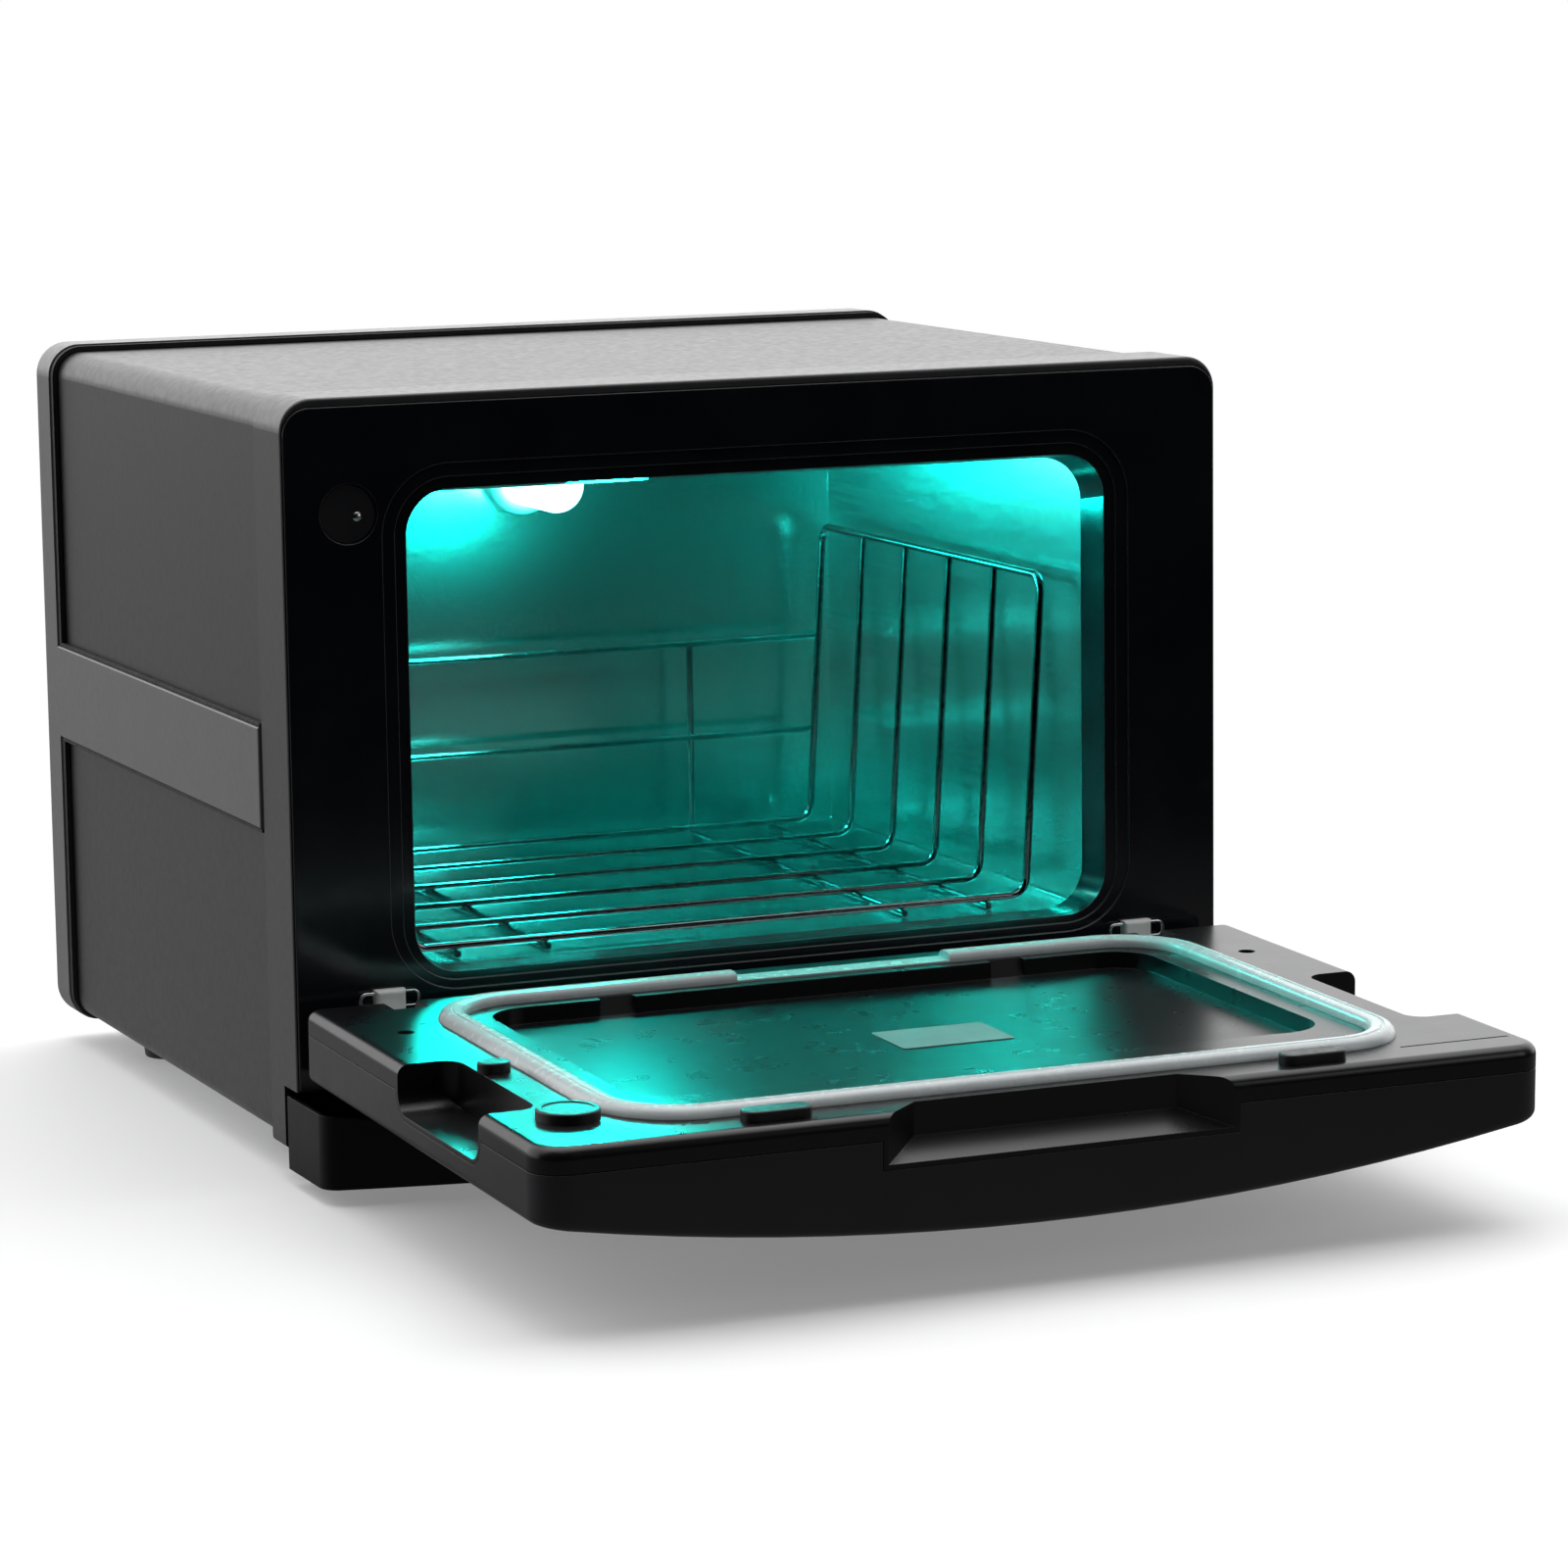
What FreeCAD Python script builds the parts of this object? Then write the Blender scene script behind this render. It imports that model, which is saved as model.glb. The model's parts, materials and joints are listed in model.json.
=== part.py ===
import FreeCAD, Part
import math
import os

V = FreeCAD.Vector

# A countertop hot-towel cabinet with a drop-down door, shown with the door open.
# Millimetres. While modelling, y = 0 is the face of the front bezel, +Y goes to the back,
# x = 0 is the middle and z = 0 is the table top. The finished pieces are moved along Y so that
# the origin lies under the middle of the whole object.

# Cabinet shell
wrapper_width = 445.0
wrapper_height = 327.5
wrapper_sheet = 1.0
cabinet_depth = 380.0
foot_height = 15.5
top_radius = 12.0
bottom_radius = 9.0
bottom_return = 14.0
tuck = 8.0
sheet_gap = 0.3

# Front frame and bezel
frame_proud = 2.5
frame_depth = 37.0
frame_wall = 2.2
flange_width = 12.0
flange_thickness = 2.5
bezel_thickness = 3.0
bezel_side_rim = 1.0
bezel_top_rim = 4.0
bezel_recess = 0.6

# Opening into the chamber
opening_width = 337.0
opening_height = 212.5
opening_sill = 75.5
opening_radius = 20.0
inner_step = 5.5
outer_step = 11.5
step_depth = 0.9
lower_step_share = 0.65
throat_depth = 20.0
throat_taper = 3.0
throat_wall = 2.0
bezel_foot_radius = 2.0

# Door catch on the bezel
catch_inset = 30.0
catch_drop = 46.5
catch_radius = 12.7
catch_depth = 2.2

# Rear frame, its side bands and the rear cover
rear_proud = 3.5
rear_depth = 24.0
rear_rim = 22.0
band_low = 139.0
band_height = 45.0
band_front_gap = 2.5
seal_width = 4.0
seal_shy = 0.8
band_seal = 1.4
cover_margin = 10.5
cover_thickness = 3.0
cover_inset = 1.2
cover_screw_inset = 16.5

# Chamber liner and what heats it
liner_sheet = 1.0
liner_step = 2.5
liner_drop = 1.5
liner_rise = 3.5
liner_setback = 68.0
liner_flange = 14.0
liner_radius = 3.0
insulation_gap = 3.0
heater_thickness = 2.5
heater_margin = 24.0

# Ultraviolet lamp
lamp_drop = 32.0
lamp_radius = 13.5
lamp_length = 62.0
lamp_flange_radius = 18.5
lamp_flange_thickness = 10.0
lamp_neck_radius = 8.0
lamp_neck_length = 26.0
socket_radius = 13.0
socket_length = 36.0
slip = 0.4

# Electrical pieces behind the liner
terminal_left = -33.0
terminal_width = 48.0
terminal_pitch = 12.0
terminal_depth = 20.0
terminal_height = 18.0
terminal_hole = 2.6
thermostat_place = 67.0
thermostat_radius = 8.0
thermostat_length = 14.0
thermostat_plate = 32.0
cutout_place = 118.0
cutout_radius = 6.0
cutout_length = 10.0
cutout_plate = 26.0
sensor_sheet = 1.0
sensor_margin = 1.0
ballast_left = 55.0
ballast_width = 70.0
ballast_depth = 40.0
ballast_height = 32.0
ballast_ear = 10.0
lead_radius = 1.3
lead_bend = 6.0
lead_pitch = 8.0
lead_rise = 26.0
lead_depth = 18.0

# Wire basket
wire_radius = 1.8
hoop_radius = 1.6
basket_gap = 7.5
basket_shift = -5.3
basket_front = 40.0
basket_back_gap = 22.0
basket_height = 149.0
basket_flare = 9.0
basket_bend = 8.0
basket_wires = 6
rim_seam = 0.2
cross_inset = 20.5
cross_spacing = 43.0
cross_overhang = 3.0
climb_bend = 4.0
back_rail_low = 46.0
back_rail_high = 93.5

# Door
door_foot = 42.5
door_edge = 31.5
door_bow = 20.5
door_gap = 5.0
door_wall = 2.5
door_radius = 14.0
door_foot_radius = 6.0
door_outer_round = 4.0
panel_rim = 10.5
parting = 0.4
panel_round = 5.0
door_droop = 1.2
pan_depth = 7.6
pan_side = 67.0
pan_top = 64.5
pan_foot = 36.5
pan_radius = 20.0
ramp_place = 94.0
ramp_width = 16.5
ramp_run = 5.0
pocket_low = 120.0
pocket_length = 96.0
pocket_width = 26.0
pocket_depth = 20.0
pocket_round = 9.0
cup_wall = 2.0
scoop_top_width = 157.0
scoop_floor_width = 118.0
scoop_reach = 16.0
scoop_deep = 21.0
scoop_shallow = 14.0
slit_width = 1.4
slit_length = 52.0
slit_drop = 21.5
slit_margin = 2.0
door_screw_inset = 24.0
door_screw_rise = 63.0
label_width = 52.0
label_height = 34.5
label_place = 16.6
label_rise = 79.5
label_radius = 2.0
label_thickness = 0.4

# Door gasket and bumpers
gasket_width = 12.0
gasket_radius = 40.0
gasket_side = 43.0
gasket_top = 22.5
gasket_foot = 17.5
contact_gap = 0.4
gasket_round = 2.2
drain_left = -34.5
drain_width = 103.0
drain_web = 1.0
pad_radius = 13.0
stadium_length = 30.0
stadium_width = 11.0
stadium_place = 120.0
stadium_drop = 13.0
side_pad_length = 14.0
side_pad_width = 10.0
side_pad_inset = 32.0
side_pad_rise = 148.0

# Hinge
hinge_rise = 9.2
hinge_inset = 16.2
hinge_place = 42.5
arm_width = 14.0
arm_radius = 8.0
arm_base_top = 28.5
arm_base_thickness = 4.6
pin_radius = 2.5
pin_clearance = 0.05
knuckle_width = 9.0
notch_gap = 0.9
spring_wire = 0.7
spring_reach = 6.5

# Drip tray
tray_back = 15.0
tray_edge = 34.0
tray_bow = 28.0
tray_drop = 8.2
tray_wall = 2.5
tray_dip = 13.5
tray_clearance = 2.4
tray_corner = 9.0
tray_travel = 90.0
notch_back = 18.5
notch_clear = 4.0
runner_length = 100.0
runner_width = 18.0
runner_height = 7.0
runner_inset = 36.0
guide_wall = 1.5
guide_gap = 0.5
base_sheet = 1.5

# Small pieces
foot_radius = 14.0
foot_inset = 34.0
foot_setback = 45.0
foot_seat = 9.3
screw_radius = 3.4
screw_head = 1.8
screw_shank = 1.5
screw_length = 5.4
inlet_edge = 65.5
inlet_height = 62.0
inlet_width = 27.0
inlet_tall = 19.0
inlet_body = 22.0
blade_setback = 2.5
inlet_socket = 15.0
inlet_wall = 2.5
blade_thickness = 2.0
blade_height = 4.0
blade_pitch = 14.0
blade_rise = 1.5
earth_drop = 2.5
switch_spacing = 45.0
switch_width = 13.0
switch_tall = 19.0
switch_body = 18.0
switch_rim = 2.0
rocker_throw = 12.0
rocker_gap = 0.5
rocker_pin = 1.0
rocker_pin_depth = 1.2
rocker_sink = 2.0
rocker_end = 2.4
rocker_waist = 1.0
rocker_shoulder = 3.0
rocker_keel = 6.0
rocker_taper = 1.5
rocker_margin = 1.0
vent_count = 9
vent_pitch = 9.0
vent_width = 3.6
vent_length = 70.0
vent_place = 111.0

# Places that follow from the sizes above
half = wrapper_width / 2
base_z = foot_height
top_z = base_z + wrapper_height
frame_half = half + frame_proud
frame_top = top_z + frame_proud
rear_half = half + rear_proud
rear_top = top_z + rear_proud
rear_low = base_z - rear_proud
rear_front = cabinet_depth - rear_depth
bezel_half = frame_half - bezel_side_rim
bezel_top = frame_top - bezel_top_rim
opening_half = opening_width / 2
opening_low = base_z + opening_sill
opening_high = opening_low + opening_height
throat_half = opening_half - throat_taper
liner_half = throat_half + liner_step
liner_floor = opening_low - liner_drop
liner_ceiling = opening_high + liner_rise
liner_front = throat_depth + sheet_gap
liner_back = cabinet_depth - liner_setback
basket_rail = liner_half - basket_gap
basket_edge = basket_rail - basket_flare
basket_floor = liner_floor + slip + 2 * hoop_radius + wire_radius
basket_top = basket_floor + basket_height
basket_back = liner_back - basket_back_gap
band_bottom = base_z + band_low
band_top = band_bottom + band_height
door_half = frame_half
door_low = base_z + door_foot
door_high = bezel_top
door_in = -door_gap
parting_y = door_in - panel_rim
hinge_y = door_in - hinge_inset
hinge_z = door_low + hinge_rise
hinge_x = frame_half - hinge_place
door_centre = door_edge + door_bow
lamp_z = liner_ceiling - lamp_drop
catch_x = -(frame_half - catch_inset)
catch_z = bezel_top - catch_drop
tray_front_reach = tray_edge + tray_bow + tray_travel + hinge_y
door_underside = hinge_z - (door_centre - hinge_inset) - tray_front_reach * math.sin(math.radians(door_droop))
tray_low = base_z - tray_drop
tray_top_middle = door_underside - tray_clearance
tray_top_side = tray_top_middle + tray_dip
bezel_low = tray_top_side + notch_clear
cover_back = cabinet_depth - cover_inset
cover_front = cover_back - cover_thickness
inlet_x = inlet_edge - (rear_half - cover_margin)
pan_low = door_low + pan_foot
pan_high = door_high - pan_top
pan_half = door_half - pan_side
pad_height = door_gap - contact_gap
gasket_half = door_half - gasket_side
gasket_low = door_low + gasket_foot
gasket_high = door_high - gasket_top


def box(x0, x1, y0, y1, z0, z1):
    return Part.makeBox(x1 - x0, y1 - y0, z1 - z0, V(x0, y0, z0))


def cylinder_x(y, z, radius, x0, x1):
    return Part.makeCylinder(radius, x1 - x0, V(x0, y, z), V(1, 0, 0))


def cylinder_y(x, z, radius, y0, y1):
    return Part.makeCylinder(radius, y1 - y0, V(x, y0, z), V(0, 1, 0))


def cylinder_z(x, y, radius, z0, z1):
    return Part.makeCylinder(radius, z1 - z0, V(x, y, z0), V(0, 0, 1))


def outline(x0, x1, z0, z1, y, high_radius, low_radius):
    """Closed wire in the plane y: a rectangle with rounded upper and lower corners."""
    corners = [(x0, z0, 1, 1, low_radius), (x1, z0, -1, 1, low_radius),
               (x1, z1, -1, -1, high_radius), (x0, z1, 1, -1, high_radius)]
    bend = 1 - math.sqrt(0.5)
    stops = []
    for index, (x, z, inward_x, inward_z, radius) in enumerate(corners):
        along_x = V(x + inward_x * radius, y, z)
        along_z = V(x, y, z + inward_z * radius)
        middle = V(x + inward_x * radius * bend, y, z + inward_z * radius * bend)
        ends = (along_z, along_x) if index % 2 == 0 else (along_x, along_z)
        stops.append((ends[0], middle, ends[1]))
    edges = []
    for index, (start, middle, end) in enumerate(stops):
        edges.append(Part.Arc(start, middle, end).toShape())
        following = stops[(index + 1) % len(stops)][0]
        edges.append(Part.LineSegment(end, following).toShape())
    return Part.Wire(edges)


def slab(x0, x1, z0, z1, y0, y1, high_radius, low_radius=None):
    """Rounded rectangle in XZ, extruded along Y."""
    if low_radius is None:
        low_radius = high_radius
    face = Part.Face(outline(x0, x1, z0, z1, y0, high_radius, low_radius))
    return face.extrude(V(0, y1 - y0, 0))


def centred_slab(half_width, z0, z1, y0, y1, high_radius, low_radius=None):
    return slab(-half_width, half_width, z0, z1, y0, y1, high_radius, low_radius)


def polygon_along_x(points, x0, x1):
    """Prism along X of a polygon given as (y, z) points."""
    corners = [V(x0, y, z) for y, z in points]
    face = Part.Face(Part.makePolygon(corners + corners[:1]))
    return face.extrude(V(x1 - x0, 0, 0))


def edges_at(shape, axis, place, tolerance=0.01):
    """Edges whose whole length lies at one value of x, y or z."""
    found = []
    for edge in shape.Edges:
        limits = edge.BoundBox
        low = getattr(limits, axis + "Min")
        high = getattr(limits, axis + "Max")
        if abs(low - place) < tolerance and abs(high - place) < tolerance:
            found.append(edge)
    return found


def straight_wire(start, end, radius):
    return Part.makeCylinder(radius, (end - start).Length, start, end - start)


def bent_wire(points, radius, bend):
    """Round wire through the points: straight runs, with an arc of the bend radius at each corner."""
    pieces = []
    start = points[0]
    for before, corner, after in zip(points, points[1:], points[2:]):
        into = (corner - before).normalize()
        out = (after - corner).normalize()
        turn = into.getAngle(out)
        trim = bend * math.tan(turn / 2)
        arc_start = corner - into * trim
        axis = into.cross(out).normalize()
        centre = arc_start + axis.cross(into) * bend
        disc = Part.Face(Part.Wire(Part.makeCircle(radius, arc_start, into)))
        pieces.append(straight_wire(start, arc_start, radius))
        pieces.append(disc.revolve(centre, axis, math.degrees(turn)))
        start = corner + out * trim
    pieces.append(straight_wire(start, points[-1], radius))
    return pieces[0].multiFuse(pieces[1:])


def mirrored(shape):
    return shape.mirror(V(0, 0, 0), V(1, 0, 0))


def both_sides(make):
    """The piece made for the right side, and its mirror image on the left."""
    right = make()
    return mirrored(right), right


def screw(place, outward, length=screw_length):
    """Pan-head screw with a cross recess; place is under the head."""
    head = Part.makeCylinder(screw_radius, screw_head, place, outward)
    shank = Part.makeCylinder(screw_shank, length, place - outward * length, outward)
    slot = screw_radius * 1.2
    width = screw_radius * 0.25
    cross = Part.makeBox(slot, width, screw_head, V(-slot / 2, -width / 2, screw_head * 0.5))
    cross = cross.fuse(cross.rotated(V(0, 0, 0), V(0, 0, 1), 90))
    turned = FreeCAD.Placement(place, FreeCAD.Rotation(V(0, 0, 1), outward))
    cross.Placement = turned.multiply(cross.Placement)
    return head.fuse(shank).cut(cross).removeSplitter()


def group(pieces):
    return Part.Compound(pieces)


# Cabinet shell

def wrapper_slab(grow, y0, y1):
    """The wrapper's outside, grown by a clearance."""
    return centred_slab(half + grow, base_z - grow, top_z + grow, y0, y1,
                        top_radius + grow, bottom_radius + grow)


def outer_wrapper():
    """Bent sheet tube, open front and back, with a return along each lower edge."""
    front = frame_depth - tuck
    back = rear_front + tuck
    tube = wrapper_slab(0, front, back).cut(wrapper_slab(-wrapper_sheet, front, back))
    edge = half - bottom_return
    return tube.cut(box(-edge, edge, front, back, base_z, base_z + wrapper_sheet))


def front_frame():
    ring = centred_slab(frame_half, base_z, frame_top, bezel_recess, frame_depth,
                        top_radius + frame_proud, frame_proud)
    ring = ring.makeFillet(frame_proud * 0.6, edges_at(ring, "Y", bezel_recess))
    seat = centred_slab(bezel_half + sheet_gap, bezel_low - frame_top, bezel_top + sheet_gap,
                        0, bezel_thickness + sheet_gap, top_radius)
    flange_back = bezel_thickness + sheet_gap + flange_thickness
    skirt = centred_slab(frame_half - frame_wall, base_z + frame_wall, frame_top - frame_wall,
                         flange_back, frame_depth, top_radius + frame_proud - frame_wall, frame_proud)
    window = centred_slab(bezel_half - flange_width, bezel_low + flange_width, bezel_top - flange_width,
                          0, frame_depth, top_radius)
    sleeve = wrapper_slab(sheet_gap, frame_depth - tuck - sheet_gap, frame_depth)
    tray_notch = box(-frame_half - 1, frame_half + 1, 0, notch_back, 0, bezel_low)
    under_flange = box(-frame_half + frame_wall, frame_half - frame_wall, 0, frame_depth,
                       base_z + frame_wall, bezel_low)
    for room in (seat, skirt, window, sleeve, tray_notch, under_flange):
        ring = ring.cut(room)
    return ring.removeSplitter()


def opening_slab(grow, y0, y1):
    """The opening's outline grown outwards, less at its lower edge."""
    return centred_slab(opening_half + grow, opening_low - grow * lower_step_share, opening_high + grow,
                        y0, y1, opening_radius + grow)


def throat_void():
    wires = []
    for y, shrink in ((-1.0, 0.0), (step_depth * 2, 0.0), (throat_depth + 1.0, throat_taper)):
        edge = opening_half - shrink
        wires.append(outline(-edge, edge, opening_low, opening_high - shrink, y,
                             opening_radius, opening_radius))
    return Part.makeLoft(wires, True, True)


def front_bezel():
    plate = centred_slab(bezel_half, bezel_low, bezel_top, 0, bezel_thickness, top_radius, bezel_foot_radius)
    plate = plate.makeFillet(bezel_recess, edges_at(plate, "Y", 0))
    throat = opening_slab(throat_wall, step_depth * 2, throat_depth)
    body = plate.cut(opening_slab(outer_step, -1, step_depth))
    body = body.cut(opening_slab(inner_step, -1, step_depth * 2))
    body = body.fuse(throat).cut(throat_void())
    body = body.cut(cylinder_y(catch_x, catch_z, catch_radius + slip, -1, catch_depth))
    return body.removeSplitter()


def catch_plate():
    disc = cylinder_y(catch_x, catch_z, catch_radius, catch_depth / 2, catch_depth)
    return disc.makeFillet(catch_depth / 6, edges_at(disc, "Y", catch_depth / 2))


def catch_screw():
    offset = catch_radius / 3
    place = V(catch_x + offset, catch_depth / 2, catch_z - offset / 3)
    head = Part.makeSphere(screw_radius, place + V(0, screw_radius * 0.75, 0))
    return head.common(cylinder_y(place.x, place.z, screw_radius, 0, catch_depth / 2))


def rear_frame():
    ring = centred_slab(rear_half, rear_low, rear_top, rear_front, cabinet_depth, top_radius + rear_proud)
    ring = ring.makeFillet(rear_proud, edges_at(ring, "Y", cabinet_depth))
    sleeve = wrapper_slab(sheet_gap, rear_front, rear_front + tuck + sheet_gap)
    window = centred_slab(rear_half - rear_rim, rear_low + rear_rim, rear_top - rear_rim,
                          rear_front, cabinet_depth, top_radius)
    seat = cover_outline(cover_front, cabinet_depth, sheet_gap)
    ring = ring.cut(sleeve).cut(window).cut(seat)
    for hole in rear_screw_holes(rear_front, cover_front):
        ring = ring.cut(hole)
    for side in both_sides(side_band):
        ring = ring.fuse(side)
    return ring.removeSplitter()


def side_band():
    band = box(half + sheet_gap, rear_half, frame_depth + band_front_gap, rear_front, band_bottom, band_top)
    rounded = [e for e in edges_at(band, "X", rear_half) if e.BoundBox.YMin < rear_front - 1]
    return band.makeFillet(rear_proud * 0.25, rounded)


def cover_outline(y0, y1, grow):
    edge = rear_half - cover_margin + grow
    return centred_slab(edge, rear_low + cover_margin - grow, rear_top - cover_margin + grow,
                        y0, y1, top_radius)


def rear_seal():
    back = rear_front - sheet_gap
    front = back - seal_width
    ring = centred_slab(rear_half - seal_shy, rear_low + seal_shy, rear_top - seal_shy, front, back,
                        top_radius + rear_proud - seal_shy)
    ring = ring.cut(wrapper_slab(sheet_gap, front, back))
    gap = box(half - 1, rear_half + 1, front, back, band_bottom - sheet_gap, band_top + sheet_gap)
    ring = ring.cut(gap).cut(mirrored(gap))
    for low in (band_bottom - sheet_gap - band_seal, band_top + sheet_gap):
        strip = box(half + sheet_gap, rear_half - seal_shy, frame_depth + band_front_gap, front,
                    low, low + band_seal)
        ring = ring.fuse(strip).fuse(mirrored(strip))
    return ring


def vent_slots():
    slots = []
    middle = (base_z + top_z) / 2
    for side in (-1, 1):
        for index in range(vent_count):
            x = side * vent_place + (index - (vent_count - 1) / 2) * vent_pitch
            slots.append(slab(x - vent_width / 2, x + vent_width / 2, middle, middle + vent_length,
                              cover_front - 1, cover_back + 1, vent_width * 0.45))
    return slots


def rear_screw_places():
    low = rear_low + cover_screw_inset
    high = rear_top - cover_screw_inset
    side = rear_half - cover_screw_inset
    return [V(x, cover_back, z) for z in (low, high) for x in (-side, 0, side)]


def rear_screw_holes(y0, y1):
    return [cylinder_y(p.x, p.z, screw_shank + slip, y0, y1) for p in rear_screw_places()]


def inlet_z():
    return base_z + inlet_height


def switch_x():
    return inlet_x + switch_spacing


def centred_box(x, z, width, height, y0, y1):
    return box(x - width / 2, x + width / 2, y0, y1, z - height / 2, z + height / 2)


def rear_cover():
    plate = cover_outline(cover_front, cover_back, 0)
    for slot in vent_slots():
        plate = plate.cut(slot)
    for hole in rear_screw_holes(cover_front, cover_back):
        plate = plate.cut(hole)
    inlet = centred_box(inlet_x, inlet_z(), inlet_width + slip, inlet_tall + slip,
                        cover_front - 1, cover_back + 1)
    switch = centred_box(switch_x(), inlet_z(), switch_width + slip, switch_tall + slip,
                         cover_front - 1, cover_back + 1)
    return plate.cut(inlet).cut(switch)


def rear_screws():
    return group([screw(place, V(0, 1, 0), 2 * screw_length) for place in rear_screw_places()])


def base_pan():
    edge = half - bottom_return - sheet_gap
    pan = box(-edge, edge, frame_depth - tuck, rear_front + tuck, base_z, base_z + base_sheet)
    for x, y in foot_places():
        pan = pan.cut(cylinder_z(x, y, screw_shank + slip, 0, base_z + base_sheet + 1))
    return pan


def foot_places():
    x = half - foot_inset
    depths = (frame_depth + foot_setback, rear_front - foot_setback)
    return [(side * x, y) for side in (-1, 1) for y in depths]


def rubber_feet():
    feet = []
    for x, y in foot_places():
        foot = Part.makeCone(foot_radius * 0.88, foot_radius, base_z, V(x, y, 0))
        foot = foot.makeFillet(foot_radius * 0.1, edges_at(foot, "Z", 0))
        feet.append(foot.cut(cylinder_z(x, y, screw_radius + slip, 0, foot_seat))
                    .cut(cylinder_z(x, y, screw_shank + slip, 0, base_z)))
    return group(feet)


def foot_screws():
    reach = base_z + base_sheet - foot_seat
    return group([screw(V(x, y, foot_seat), V(0, 0, -1), reach) for x, y in foot_places()])


# Chamber

def inner_liner():
    outside = centred_slab(liner_half + liner_sheet, liner_floor - liner_sheet, liner_ceiling + liner_sheet,
                           liner_front, liner_back + liner_sheet, liner_radius + liner_sheet)
    flange = centred_slab(liner_half + liner_flange, liner_floor - liner_flange, liner_ceiling + liner_flange,
                          liner_front, liner_front + liner_sheet, liner_radius + liner_flange)
    inside = centred_slab(liner_half, liner_floor, liner_ceiling, liner_front, liner_back, liner_radius)
    hole = cylinder_y(0, lamp_z, socket_radius + slip, liner_back - 1, liner_back + liner_sheet + 1)
    return outside.fuse(flange).cut(inside).cut(hole).removeSplitter()


def insulation_sleeve():
    front = liner_front + liner_sheet + insulation_gap
    back = liner_back + liner_sheet
    outside = centred_slab(half - wrapper_sheet - insulation_gap, liner_floor - liner_flange - insulation_gap,
                           top_z - wrapper_sheet - insulation_gap, front, back, top_radius)
    inside_gap = liner_sheet + insulation_gap
    inside = centred_slab(liner_half + inside_gap, liner_floor - inside_gap - heater_thickness,
                          liner_ceiling + inside_gap, front, back, liner_radius + inside_gap)
    return outside.cut(inside)


def heater_pad():
    edge = liner_half - heater_margin
    top = liner_floor - liner_sheet - sheet_gap
    return slab(-edge, edge, top - heater_thickness, top, liner_front + heater_margin,
                liner_back - heater_margin, heater_thickness * 0.3)


def back_piece(x, radius, length, plate):
    """Round sensor on a mounting plate, half-way up the back of the liner."""
    y = liner_back + liner_sheet + sheet_gap
    z = (liner_floor + liner_ceiling) / 2
    base = centred_box(x, z, plate, 2 * (radius + sensor_margin), y, y + sensor_sheet)
    return base.fuse(cylinder_y(x, z, radius, y, y + length)).removeSplitter()


def thermostat():
    return back_piece(thermostat_place, thermostat_radius, thermostat_length, thermostat_plate)


def thermal_cutout():
    return back_piece(cutout_place, cutout_radius, cutout_length, cutout_plate)


def lamp_holder():
    face = liner_back - lamp_flange_thickness
    barrel = cylinder_y(0, lamp_z, socket_radius, face, liner_back + socket_length)
    flange = cylinder_y(0, lamp_z, lamp_flange_radius, face - sheet_gap, liner_back - sheet_gap)
    flange = flange.makeFillet(lamp_flange_thickness * 0.4, edges_at(flange, "Y", face - sheet_gap))
    bore = cylinder_y(0, lamp_z, lamp_neck_radius + slip, face - 1, face + lamp_neck_length)
    return flange.fuse(barrel).cut(bore).removeSplitter()


def uv_lamp():
    root = liner_back - lamp_flange_thickness - 2 * sheet_gap
    bulb = cylinder_y(0, lamp_z, lamp_radius, liner_back - lamp_length, root)
    bulb = bulb.makeFillet(lamp_radius * 0.7, edges_at(bulb, "Y", liner_back - lamp_length))
    neck = cylinder_y(0, lamp_z, lamp_neck_radius, root - 1, root + lamp_neck_length - 2 * slip)
    return bulb.fuse(neck).removeSplitter()


def lamp_ballast():
    floor = base_z + base_sheet + sheet_gap
    back = cover_front - inlet_body
    right = ballast_left + ballast_width
    body = box(ballast_left, right, back - ballast_depth, back, floor, floor + ballast_height)
    ears = box(ballast_left - ballast_ear, right + ballast_ear, back - ballast_depth + ballast_ear,
               back - ballast_ear, floor, floor + base_sheet)
    return body.fuse(ears).removeSplitter()


def terminal_block():
    floor = base_z + base_sheet + sheet_gap
    back = cover_front - inlet_body
    top = floor + terminal_height
    block = box(terminal_left, terminal_left + terminal_width, back - terminal_depth, back, floor, top)
    for index in range(round(terminal_width / terminal_pitch)):
        hole_x = terminal_left + (index + 0.5) * terminal_pitch
        hole = cylinder_z(hole_x, back - terminal_depth / 2, terminal_hole, top - terminal_height / 2, top)
        block = block.cut(hole)
    return block


def wiring_loom():
    """Insulated leads from the terminal block to the sensors, the lamp and the heater."""
    floor = base_z + base_sheet + lead_rise
    y = liner_back + liner_sheet + lead_depth
    x = terminal_left + terminal_width / 2
    middle = (liner_floor + liner_ceiling) / 2
    ends = [(thermostat_place, middle), (cutout_place, middle), (lamp_flange_radius * 2, lamp_z),
            (-thermostat_place, liner_floor)]
    leads = []
    for index, (end_x, end_z) in enumerate(ends):
        start_x = x + (index - 1.5) * terminal_pitch
        turn_z = floor + lead_rise + (index + 1) * lead_pitch
        points = [V(start_x, y, floor), V(start_x, y, turn_z), V(end_x + lead_rise, y, turn_z),
                  V(end_x + lead_rise, y, end_z)]
        leads.append(bent_wire(points, lead_radius, lead_bend))
        y += 3 * lead_radius
    return group(leads)


# Wire basket

def towel_basket():
    """Separate wires that touch where they are welded."""
    wires = list(both_sides(basket_rim)) + basket_hoops() + cross_wires() + back_rails()
    return group(wires).translated(V(basket_shift, 0, 0))


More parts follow.
